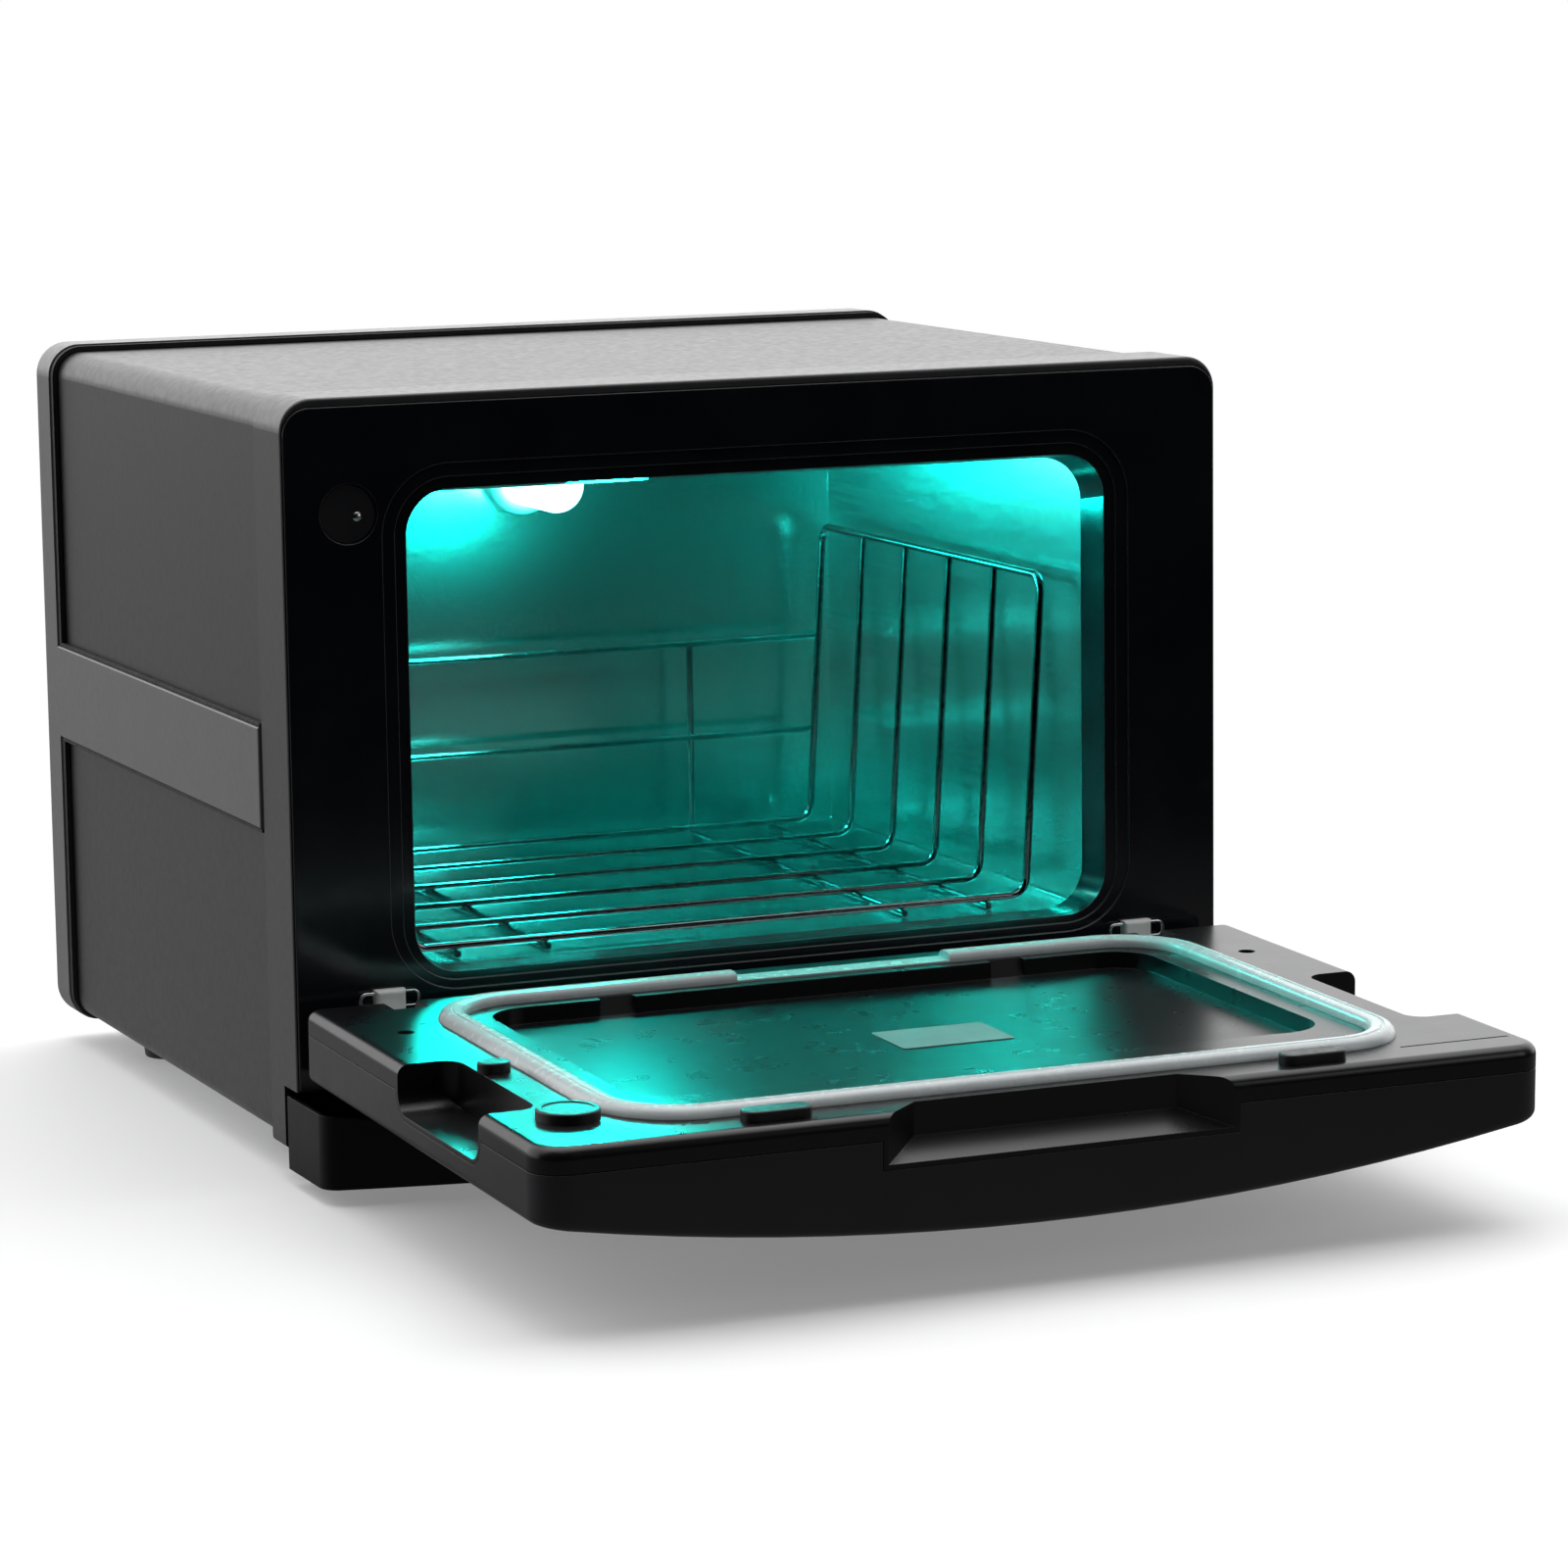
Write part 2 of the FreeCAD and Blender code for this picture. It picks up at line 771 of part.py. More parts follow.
def basket_rim():
    """The right half of the first and last hoops, and the top rail that joins them."""
    middle = rim_seam / 2
    corners = [V(middle, basket_front, basket_floor), V(basket_edge, basket_front, basket_floor),
               V(basket_rail, basket_front, basket_top), V(basket_rail, basket_back, basket_top),
               V(basket_edge, basket_back, basket_floor), V(middle, basket_back, basket_floor)]
    return bent_wire(corners, wire_radius, basket_bend)


def basket_hoops():
    """Hoops between the first and the last, which end under the top rails."""
    low = basket_floor - wire_radius + hoop_radius
    rail = V(basket_rail, 0, basket_top)
    end = rail - (rail - V(basket_edge, 0, low)).normalize() * wire_radius
    pitch = (basket_back - basket_front) / (basket_wires - 1)
    hoops = []
    for index in range(1, basket_wires - 1):
        y = basket_front + index * pitch
        points = [V(-end.x, y, end.z), V(-basket_edge, y, low), V(basket_edge, y, low), V(end.x, y, end.z)]
        hoops.append(bent_wire(points, hoop_radius, basket_bend))
    return hoops


def cross_wires():
    """Runners under the hoops; the two inner ones climb the back as well."""
    touch = wire_radius + hoop_radius
    low = basket_floor - touch
    front = basket_front - cross_overhang
    back = basket_back + touch
    outer = basket_edge - cross_inset
    inner = outer - cross_spacing
    wires = []
    for side in (-1, 1):
        wires.append(straight_wire(V(side * outer, front, low), V(side * outer, back, low), hoop_radius))
        climb = [V(side * inner, front, low), V(side * inner, back, low),
                 V(side * inner, back, basket_floor + back_rail_high + hoop_radius)]
        wires.append(bent_wire(climb, hoop_radius, climb_bend))
    return wires


def back_rails():
    """Level wires across the back, between the last hoop's uprights."""
    y = basket_back + wire_radius - hoop_radius
    slope = basket_flare / basket_height
    upright = wire_radius * math.hypot(1, slope)
    rails = []
    for rise in (back_rail_low, back_rail_high):
        z = basket_floor + rise
        reach = basket_edge + (rise - hoop_radius) * slope - upright
        rails.append(straight_wire(V(-reach, y, z), V(reach, y, z), hoop_radius))
    return rails


# Door, modelled closed and then swung open

def door_envelope(inset):
    """Closed outer form of the door, drawn in by an inset: flat inside, bowed outside."""
    edge = door_half - inset
    side_y = door_in - door_edge + inset
    middle_y = door_in - door_edge - door_bow + inset
    low = door_low + inset
    corners = [V(-edge, side_y, low), V(-edge, door_in, low), V(edge, door_in, low), V(edge, side_y, low)]
    lines = [Part.LineSegment(a, b).toShape() for a, b in zip(corners, corners[1:])]
    bow = Part.Arc(corners[3], V(0, middle_y, low), corners[0]).toShape()
    solid = Part.Face(Part.Wire(lines + [bow])).extrude(V(0, 0, door_high - inset - low))
    trim = centred_slab(edge, low, door_high - inset, middle_y - 1, door_in + 1,
                        door_radius - inset, door_foot_radius - inset)
    return solid.common(trim)


def in_front_of(y):
    """Everything on the viewer's side of the plane y, as a cutting block."""
    return box(-wrapper_width, wrapper_width, -wrapper_width, y, 0, 2 * wrapper_height)


def outer_face_edges(shape):
    """The rim of the bowed outer face."""
    bowed = max((f for f in shape.Faces if f.CenterOfMass.y < door_in - door_edge), key=lambda f: f.Area)
    return bowed.Edges


def pocket_cup(grow):
    """Finger pocket in the right edge of the door; grow adds the cup's wall."""
    low = door_low + pocket_low - grow
    high = door_low + pocket_low + pocket_length + grow
    x0 = door_half - pocket_width - grow
    deep = door_in - pocket_depth - grow
    cup = box(x0, door_half + 1, deep, door_in + 1, low, high)
    ends = [e for e in edges_at(cup, "Y", deep) if e.BoundBox.XLength > 2]
    corners = [e for e in edges_at(cup, "X", x0) if e.BoundBox.YLength > 2]
    return cup.makeFillet(pocket_round + grow, ends + corners)


def scoop_cup(grow):
    """Finger scoop in the upper edge of the door; grow adds the cup's wall."""
    wires = []
    top = door_high + 1
    for z, width, deep in ((door_high - scoop_reach - grow, scoop_floor_width, scoop_shallow),
                           (top, scoop_top_width, scoop_deep)):
        x = width / 2 + grow
        y = door_in - deep - grow
        corners = [V(-x, y, z), V(x, y, z), V(x, door_in + 1, z), V(-x, door_in + 1, z)]
        wires.append(Part.makePolygon(corners + corners[:1]))
    return Part.makeLoft(wires, True, True)


def hinge_notch():
    """Room for the right hinge arm, open at the door's foot and inner face."""
    room = arm_radius + notch_gap
    return box(hinge_x - arm_width / 2 - notch_gap, hinge_x + arm_width / 2 + notch_gap,
               hinge_y - room, 1, door_low - 1, hinge_z + room)


def knuckle_block():
    """Blocks on both sides of the right hinge notch that hold the pin."""
    reach = arm_width / 2 + notch_gap + knuckle_width
    return box(hinge_x - reach, hinge_x + reach, hinge_y - arm_radius - notch_gap - door_wall,
               door_in - door_wall, door_low, hinge_z + arm_radius + notch_gap + door_wall)


def pan_slab(grow, y0, y1):
    return centred_slab(pan_half + grow, pan_low - grow, pan_high + grow, y0, y1, pan_radius + grow)


def ramp_block(grow):
    """Drain ramp from the pan's floor up to the ledge on the hinge side."""
    deep = door_in - pan_depth - grow
    points = [(door_in + grow, pan_low - ramp_run - grow), (deep, pan_low), (deep, pan_low + 1),
              (door_in + grow + 1, pan_low + 1), (door_in + grow + 1, pan_low - ramp_run - grow)]
    return polygon_along_x(points, ramp_place - ramp_width / 2 - grow, ramp_place + ramp_width / 2 + grow)


def door_screw_places():
    x = door_half - door_screw_inset
    z = door_low + door_screw_rise
    return [V(-x, door_in - panel_rim / 2, z), V(x, door_in - panel_rim / 2, z)]


def inner_panel():
    whole = door_envelope(0)
    whole = whole.makeFillet(panel_round, edges_at(whole, "Y", door_in))
    body = whole.cut(in_front_of(parting_y))
    rim = door_wall + panel_round
    edge = door_half - rim
    hollow = box(-edge, edge, parting_y, door_in - door_wall, door_low + rim, door_high - rim)
    body = body.cut(hollow)
    pan_wall = pan_slab(door_wall, parting_y, door_in - door_wall)
    ramp_wall = ramp_block(door_wall).common(whole)
    cups = [pocket_cup(cup_wall), mirrored(pocket_cup(cup_wall)), scoop_cup(cup_wall)]
    knuckles = [knuckle_block(), mirrored(knuckle_block())]
    added = [pan_wall, ramp_wall, mirrored(ramp_wall)]
    added += [piece.common(whole) for piece in cups + knuckles]
    for place in door_screw_places():
        added.append(cylinder_y(place.x, place.z, 2 * screw_radius, parting_y, door_in - door_wall))
    body = body.multiFuse(added)
    taken = [pan_slab(0, door_in - pan_depth, 1), ramp_block(0), mirrored(ramp_block(0))]
    taken += [pocket_cup(0), mirrored(pocket_cup(0)), scoop_cup(0), hinge_notch(), mirrored(hinge_notch())]
    taken += [cylinder_x(hinge_y, hinge_z, pin_radius, -door_half + door_wall, door_half - door_wall)]
    slit_z = door_high - slit_drop
    slit_right = door_half - panel_round - slit_margin
    slit_left = slit_right - slit_length
    taken.append(box(slit_left, slit_right, door_in - slit_width, 1, slit_z, slit_z + slit_width))
    for place in door_screw_places():
        taken.append(cylinder_y(place.x, place.z, screw_radius + slip, place.y - slip, 1))
        taken.append(cylinder_y(place.x, place.z, screw_shank + slip, parting_y - 1, place.y))
    for piece in taken:
        body = body.cut(piece)
    return body.removeSplitter()


def outer_shell():
    edge_y = parting_y - parting
    whole = door_envelope(0)
    whole = whole.makeFillet(door_outer_round, outer_face_edges(whole))
    body = whole.common(in_front_of(edge_y))
    body = body.cut(door_envelope(door_wall).common(in_front_of(edge_y)))
    room = cup_wall + sheet_gap
    block = knuckle_block()
    limits = block.BoundBox
    block = box(limits.XMin - sheet_gap, limits.XMax + sheet_gap, limits.YMin - sheet_gap, 1,
                limits.ZMin - 1, limits.ZMax + sheet_gap)
    for piece in (pocket_cup(room), scoop_cup(room), block, hinge_notch()):
        body = body.cut(piece).cut(mirrored(piece))
    return body.removeSplitter()


def door_foam():
    edge = door_half - pocket_width - 4 * cup_wall
    clear = hinge_z + arm_radius + 4 * door_wall
    form = door_envelope(door_wall + sheet_gap).common(in_front_of(parting_y - parting))
    return form.common(box(-edge, edge, -wrapper_width, 0, clear, door_high - scoop_reach - 3 * cup_wall))


def door_gasket():
    face_y = door_in
    tip_y = door_in + pad_height
    ring = centred_slab(gasket_half, gasket_low, gasket_high, face_y, tip_y, gasket_radius)
    inside = centred_slab(gasket_half - gasket_width, gasket_low + gasket_width, gasket_high - gasket_width,
                          face_y, tip_y, gasket_radius - gasket_width)
    ring = ring.cut(inside)
    ring = ring.makeFillet(gasket_round, edges_at(ring, "Y", tip_y))
    drain = box(drain_left, drain_left + drain_width, face_y + drain_web, tip_y + 1, gasket_low - 1,
                gasket_low + gasket_width + 1)
    return ring.cut(drain)


def stadium(x, z, length, width):
    pad = slab(x - length / 2, x + length / 2, z - width / 2, z + width / 2, door_in, door_in + pad_height,
               width * 0.49)
    return pad.makeFillet(pad_height * 0.2, edges_at(pad, "Y", door_in + pad_height))


def door_bumpers():
    z = door_high - stadium_drop
    pads = [stadium(side * stadium_place, z, stadium_length, stadium_width) for side in (-1, 1)]
    side_x = side_pad_inset - door_half
    pads.append(stadium(side_x, door_low + side_pad_rise, side_pad_length, side_pad_width))
    return group(pads)


def magnet_pad():
    pad = cylinder_y(catch_x, catch_z, pad_radius, door_in, door_in + pad_height)
    pad = pad.makeFillet(pad_height * 0.2, edges_at(pad, "Y", door_in + pad_height))
    dish = cylinder_y(catch_x, catch_z, pad_radius * 0.8, door_in + pad_height * 0.9, door_in + pad_height)
    return pad.cut(dish)


def door_screws():
    return group([screw(place, V(0, 1, 0)) for place in door_screw_places()])


def label_plate():
    y = door_in - pan_depth
    return slab(label_place - label_width / 2, label_place + label_width / 2, pan_low + label_rise,
                pan_low + label_rise + label_height, y, y + label_thickness, label_radius)


def hinge_pin():
    reach = arm_width / 2 + notch_gap + knuckle_width
    return cylinder_x(hinge_y, hinge_z, pin_radius, hinge_x - reach, hinge_x + reach)


def hinge_arm():
    x0 = hinge_x - arm_width / 2
    x1 = hinge_x + arm_width / 2
    top = door_low + arm_base_top
    base = box(x0, x1, -arm_base_thickness, 0, door_low, top)
    base = base.makeFillet(arm_base_thickness * 0.4, edges_at(base, "Y", -arm_base_thickness))
    bar = box(x0, x1, hinge_y, -arm_base_thickness / 2, hinge_z - arm_radius, hinge_z + arm_radius)
    eye = cylinder_x(hinge_y, hinge_z, arm_radius, x0, x1)
    bore = cylinder_x(hinge_y, hinge_z, pin_radius + pin_clearance, x0 - 1, x1 + 1)
    arm = base.fuse(bar).fuse(eye).cut(bore)
    return arm.removeSplitter()


def hinge_spring():
    """Bent retaining wires, one on each side of the right arm's base."""
    x = hinge_x + arm_width / 2
    z = door_low + arm_base_top - 2 * spring_wire
    y = -arm_base_thickness / 2
    points = [V(x, y, z), V(x + spring_reach, y, z), V(x + spring_reach, y, z - spring_reach),
              V(x, y, z - spring_reach)]
    wire = bent_wire(points, spring_wire, spring_reach * 0.4)
    return group([wire, wire.mirror(V(hinge_x, 0, 0), V(1, 0, 0))])


def swing_open(shape):
    return shape.rotated(V(0, hinge_y, hinge_z), V(1, 0, 0), 90 + door_droop)


# Drip tray

def tray_form(inset, low):
    edge = frame_half - inset
    side_y = -tray_edge + inset
    corners = [V(-edge, side_y, low), V(-edge, tray_back - inset, low), V(edge, tray_back - inset, low),
               V(edge, side_y, low)]
    lines = [Part.LineSegment(a, b).toShape() for a, b in zip(corners, corners[1:])]
    bow = Part.Arc(corners[3], V(0, -tray_edge - tray_bow + inset, low), corners[0]).toShape()
    solid = Part.Face(Part.Wire(lines + [bow])).extrude(V(0, 0, tray_top_side - low))
    upright = [e for e in solid.Edges if e.BoundBox.ZLength > 1 and abs(e.BoundBox.YMin - side_y) < 0.1]
    return solid.makeFillet(tray_corner - inset, upright)


def tray_dip_cut():
    """Everything above the tray's upper edge, which dips in the middle."""
    y = -tray_edge - tray_bow - 1
    left = V(-frame_half, y, tray_top_side)
    right = V(frame_half, y, tray_top_side)
    high = V(0, 0, tray_top_side)
    bow = Part.Arc(left, V(0, y, tray_top_middle), right).toShape()
    lines = [Part.LineSegment(right, right + high).toShape(),
             Part.LineSegment(right + high, left + high).toShape(),
             Part.LineSegment(left + high, left).toShape()]
    face = Part.Face(Part.Wire([bow] + lines))
    return face.extrude(V(0, tray_back - y + 1, 0))


def runner_place():
    return half - runner_inset


def runner_low():
    return base_z + base_sheet + guide_wall + guide_gap


def drip_tray():
    body = tray_form(0, tray_low).cut(tray_form(tray_wall, tray_low + tray_wall))
    body = body.cut(tray_dip_cut())
    low = runner_low()
    x = runner_place()
    runner = box(x - runner_width / 2, x + runner_width / 2, tray_back - tray_wall, tray_back + runner_length,
                 low, low + runner_height)
    return body.fuse(runner).fuse(mirrored(runner)).removeSplitter()


def tray_guide():
    """Channel on the base pan that one tray runner slides in."""
    x = runner_place()
    side = runner_width / 2 + guide_gap
    low = base_z + base_sheet
    top = runner_low() + runner_height + guide_gap
    front = frame_depth + 2 * guide_wall
    back = tray_back + runner_length + 2 * guide_wall
    body = box(x - side - guide_wall, x + side + guide_wall, front, back, low, top + guide_wall)
    channel = box(x - side, x + side, front, back, runner_low() - guide_gap, top)
    return body.cut(channel)


def tray_guides():
    return group([mirrored(tray_guide()), tray_guide()])


# Mains inlet and switch

def mains_inlet():
    z = inlet_z()
    flange = centred_box(inlet_x, z, inlet_width + 4 * inlet_wall, inlet_tall + 2 * inlet_wall,
                         cover_back, cover_back + cover_inset)
    body = centred_box(inlet_x, z, inlet_width, inlet_tall, cover_back - inlet_body, cover_back + cover_inset)
    socket = centred_box(inlet_x, z, inlet_width - 2 * inlet_wall, inlet_tall - 2 * inlet_wall,
                         cover_back - inlet_socket, cover_back + cover_inset + 1)
    shell = flange.fuse(body).cut(socket)
    for x, rise in ((-blade_pitch / 2, blade_rise), (blade_pitch / 2, blade_rise), (0, -earth_drop)):
        blade = centred_box(inlet_x + x, z + rise, blade_thickness, blade_height,
                            cover_back - inlet_socket - 1, cover_back - blade_setback)
        shell = shell.fuse(blade)
    return shell.removeSplitter()


def switch_housing():
    x = switch_x()
    z = inlet_z()
    flange = centred_box(x, z, switch_width + 2 * switch_rim, switch_tall + 2 * switch_rim,
                         cover_back, cover_back + cover_inset)
    body = centred_box(x, z, switch_width, switch_tall, cover_back - switch_body, cover_back + cover_inset)
    well = centred_box(x, z, switch_width - 2 * switch_rim, switch_tall - 2 * switch_rim,
                       cover_back - switch_body + switch_rim, cover_back + cover_inset + 1)
    reach = switch_width / 2 - switch_rim + rocker_pin_depth + rocker_gap
    bore = cylinder_x(rocker_y(), z, rocker_pin + pin_clearance, x - reach, x + reach)
    return flange.fuse(body).cut(well).cut(bore).removeSplitter()


def rocker_y():
    return cover_back - rocker_sink


def power_rocker():
    """Rocker, tipped to its off side; it turns on two stub pins in the housing's walls."""
    x = switch_x()
    z = inlet_z()
    width = switch_width - 2 * switch_rim - 2 * rocker_gap
    reach = switch_tall / 2 - switch_rim - rocker_gap - rocker_margin
    lower = reach - rocker_taper
    points = [(rocker_end, -reach), (rocker_waist, 0), (rocker_end, reach), (-rocker_shoulder, lower),
              (-rocker_keel, 0), (-rocker_shoulder, -lower)]
    profile = [(cover_back + out, z + rise) for out, rise in points]
    rocker = polygon_along_x(profile, x - width / 2, x + width / 2)
    pin_reach = width / 2 + rocker_gap + rocker_pin_depth
    rocker = rocker.fuse(cylinder_x(rocker_y(), z, rocker_pin, x - pin_reach, x + pin_reach))
    return rocker.removeSplitter().rotated(V(x, rocker_y(), z), V(1, 0, 0), -rocker_throw)


def build():
    left_arm, right_arm = both_sides(hinge_arm)
    left_spring, right_spring = both_sides(hinge_spring)
    left_pin, right_pin = both_sides(hinge_pin)
    fixed = {
        "outer_wrapper": outer_wrapper(),
        "front_frame": front_frame(),
        "front_bezel": front_bezel(),
        "catch_plate": catch_plate(),
        "catch_screw": catch_screw(),
        "rear_frame": rear_frame(),
        "rear_seal": rear_seal(),
        "rear_cover": rear_cover(),
        "rear_screws": rear_screws(),
        "base_pan": base_pan(),
        "rubber_feet": rubber_feet(),
        "foot_screws": foot_screws(),
        "inner_liner": inner_liner(),
        "insulation_sleeve": insulation_sleeve(),
        "heater_pad": heater_pad(),
        "thermostat": thermostat(),
        "thermal_cutout": thermal_cutout(),
        "lamp_holder": lamp_holder(),
        "uv_lamp": uv_lamp(),
        "lamp_ballast": lamp_ballast(),
        "terminal_block": terminal_block(),
        "wiring_loom": wiring_loom(),
        "towel_basket": towel_basket(),
        "hinge_arm_left": left_arm,
        "hinge_arm_right": right_arm,
        "hinge_spring_left": left_spring,
        "hinge_spring_right": right_spring,
        "tray_guides": tray_guides(),
        "drip_tray": drip_tray(),
        "mains_inlet": mains_inlet(),
        "switch_housing": switch_housing(),
        "power_rocker": power_rocker(),
    }
    door = {
        "door_inner_panel": inner_panel(),
        "door_outer_shell": outer_shell(),
        "door_foam": door_foam(),
        "door_gasket": door_gasket(),
        "door_bumpers": door_bumpers(),
        "magnet_pad": magnet_pad(),
        "door_screws": door_screws(),
        "label_plate": label_plate(),
        "hinge_pin_left": left_pin,
        "hinge_pin_right": right_pin,
    }
    pieces = dict(fixed)
    for name, shape in door.items():
        pieces[name] = swing_open(shape)
    return pieces


def main():
    os.makedirs("parts", exist_ok=True)
    pieces = build()
    whole = Part.Compound(list(pieces.values())).optimalBoundingBox(False, False)
    middle_y = (whole.YMin + whole.YMax) / 2
    for name, shape in pieces.items():
        shape.translated(V(0, -middle_y, 0)).exportStep("parts/" + name + ".step")
    print("box", whole.XLength, whole.YLength, whole.ZLength, "lowest", whole.ZMin)
    print("front face at y", -middle_y)
    print("door hinge at y", hinge_y - middle_y, "z", hinge_z)
    print("rocker pivot at x", switch_x(), "y", rocker_y() - middle_y, "z", inlet_z())


main()
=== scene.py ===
import json
import math

import bmesh
import bpy
from mathutils import Matrix, Vector


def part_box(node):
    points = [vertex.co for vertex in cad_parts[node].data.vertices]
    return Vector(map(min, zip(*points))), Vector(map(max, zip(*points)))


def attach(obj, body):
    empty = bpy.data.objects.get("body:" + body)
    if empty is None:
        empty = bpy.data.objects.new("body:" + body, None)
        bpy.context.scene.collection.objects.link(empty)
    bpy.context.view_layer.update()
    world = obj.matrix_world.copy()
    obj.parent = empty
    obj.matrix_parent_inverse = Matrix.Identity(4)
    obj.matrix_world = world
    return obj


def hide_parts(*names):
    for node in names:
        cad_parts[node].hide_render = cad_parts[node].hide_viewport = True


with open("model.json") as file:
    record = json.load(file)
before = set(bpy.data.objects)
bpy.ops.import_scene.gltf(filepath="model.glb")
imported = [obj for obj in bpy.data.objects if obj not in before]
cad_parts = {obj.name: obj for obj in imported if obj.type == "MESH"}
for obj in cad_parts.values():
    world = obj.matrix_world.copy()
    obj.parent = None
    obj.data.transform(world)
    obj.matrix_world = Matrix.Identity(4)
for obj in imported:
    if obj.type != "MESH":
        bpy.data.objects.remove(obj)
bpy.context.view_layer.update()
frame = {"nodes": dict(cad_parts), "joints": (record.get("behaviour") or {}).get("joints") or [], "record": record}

# Places taken from the frame; the bezel's face stands a little in front of the front frame
MM = 0.001
BEZEL_PROUD = 0.6 * MM
hinge = next(j for j in frame["joints"] if j["name"] == "door_hinge")
hinge_point = Vector(hinge["pos_m"])
open_angle = math.radians(hinge["range_deg"][1])
front_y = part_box("front_frame")[0][1] - BEZEL_PROUD
lamp_low, lamp_high = [Vector(v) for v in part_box("uv_lamp")]

# Camera, for a picture of 1600 pixels; its place is measured from the bezel's face
IMAGE_PIXELS = 1600
FOCAL_PIXELS = 5531
SENSOR_MM = 36.0
CAMERA_YAW = math.radians(-23.31)
CAMERA_PITCH = math.radians(8.86)
CAMERA_ROLL = math.radians(-0.764)
CAMERA_PLACE = Vector((-942.5, -2203.7, 536.8)) * MM

# Gasket section, from its outer edge inwards, in millimetres: distance in, height
GASKET_SECTION = [(0, 0), (0.2, 1.0), (0.9, 2.4), (2.0, 3.6), (3.4, 4.35), (4.8, 4.6), (5.4, 4.0),
                  (6.0, 4.0), (6.6, 4.6), (9.0, 4.5), (10.4, 4.0), (11.4, 3.0), (11.9, 1.6), (12, 0)]

# Gasket's outer corner radius, the two ends of its drain gap along X, and the web left in the gap
GASKET_CORNER = 40 * MM
CORNER_STEPS = 14
DRAIN_LEFT = -34.5 * MM
DRAIN_RIGHT = 68.5 * MM
DRAIN_WEB = 1.0 * MM

# Faces that meet at less than this angle are shaded as one smooth surface
SMOOTH_ANGLE = math.radians(35)

# The middle range of a noise texture, which is spread over a finish's two limits
NOISE_LOW = 0.3
NOISE_HIGH = 0.7

# Floor: shadows show near the object and fade to plain white, in metres from the floor's middle
FLOOR_HALF = 30.0
FLOOR_COLOR = (0.94, 0.94, 0.94)
FLOOR_ROUGHNESS = 0.7
FLOOR_SHINE = 0.1
SHADOW_FADE = (0.35, 0.9)
SHADOW_LIFT = 0.22

# The floor's light in reflections, which rises along Y towards the back and falls away from the middle
MIRROR_BEHIND = (-0.2, 0.15)
MIRROR_BEHIND_LIGHT = 0.32
MIRROR_CLOSE = (0.6, 1.0)
MIRROR_CLOSE_LIGHT = 0.15

# Studio surround: stretches of a direction's Y or Z over which its light rises
BEHIND_RISE = (-0.05, 0.3)
OVERHEAD_RISE = (0.4, 0.85)
FRONT_FADE = (-0.25, 0.05)
SURROUND_LIGHT = 1.7

# Soft lights: name, place, what it points at and width in metres, power in watts
SOFT_LIGHTS = [("top_softbox", (0.3, 0.0, 2.6), (0, -0.1, 0.1), 3.0, 38),
               ("front_fill", (2.0, -2.2, 1.3), (0, -0.3, 0.1), 1.2, 8)]

# Light of the chamber's lamp, which stands this reach in front of the lamp's glass
GLOW_COLOR = (0.005, 1.0, 0.88)
GLOW_POWER = 2.2
GLOW_RADIUS = 20 * MM
GLOW_REACH = 60 * MM


# Materials

def shader(name, color, roughness, metallic=0.0):
    """New material and its main shader node, with the plain values that the detail starts from."""
    material = bpy.data.materials.new(name)
    material.use_nodes = True
    nodes = material.node_tree.nodes
    principled = nodes["Principled BSDF"]
    principled.inputs["Base Color"].default_value = (*color, 1)
    principled.inputs["Roughness"].default_value = roughness
    principled.inputs["Metallic"].default_value = metallic
    return material, principled


def noise(material, scale, detail=3.0, stretch=(1, 1, 1)):
    """Noise texture on object coordinates; scale is in cycles per metre."""
    nodes = material.node_tree.nodes
    links = material.node_tree.links
    coordinates = nodes.new("ShaderNodeTexCoord")
    mapping = nodes.new("ShaderNodeMapping")
    mapping.inputs["Scale"].default_value = stretch
    texture = nodes.new("ShaderNodeTexNoise")
    texture.inputs["Scale"].default_value = scale
    texture.inputs["Detail"].default_value = detail
    links.new(coordinates.outputs["Object"], mapping.inputs["Vector"])
    links.new(mapping.outputs["Vector"], texture.inputs["Vector"])
    return texture.outputs["Fac"]


def spread(material, value, low, high):
    """Maps a texture's middle range onto low..high."""
    node = material.node_tree.nodes.new("ShaderNodeMapRange")
    node.inputs["From Min"].default_value = NOISE_LOW
    node.inputs["From Max"].default_value = NOISE_HIGH
    node.inputs["To Min"].default_value = low
    node.inputs["To Max"].default_value = high
    material.node_tree.links.new(value, node.inputs["Value"])
    return node.outputs["Result"]


def vary_roughness(material, principled, value, low, high):
    material.node_tree.links.new(spread(material, value, low, high), principled.inputs["Roughness"])


def vary_color(material, principled, value, dark, light):
    ramp = material.node_tree.nodes.new("ShaderNodeValToRGB")
    ramp.color_ramp.elements[0].position = NOISE_LOW
    ramp.color_ramp.elements[1].position = NOISE_HIGH
    ramp.color_ramp.elements[0].color = (*dark, 1)
    ramp.color_ramp.elements[1].color = (*light, 1)
    material.node_tree.links.new(value, ramp.inputs["Fac"])
    material.node_tree.links.new(ramp.outputs["Color"], principled.inputs["Base Color"])


def add_bump(material, principled, value, strength, distance, edge=0.4):
    """Surface grain, over edges that catch the light as if rounded; edge is their radius in millimetres."""
    nodes = material.node_tree.nodes
    links = material.node_tree.links
    bevel = nodes.new("ShaderNodeBevel")
    bevel.inputs["Radius"].default_value = edge * MM
    bump = nodes.new("ShaderNodeBump")
    bump.inputs["Strength"].default_value = strength
    bump.inputs["Distance"].default_value = distance
    links.new(value, bump.inputs["Height"])
    links.new(bevel.outputs["Normal"], bump.inputs["Normal"])
    links.new(bump.outputs["Normal"], principled.inputs["Normal"])


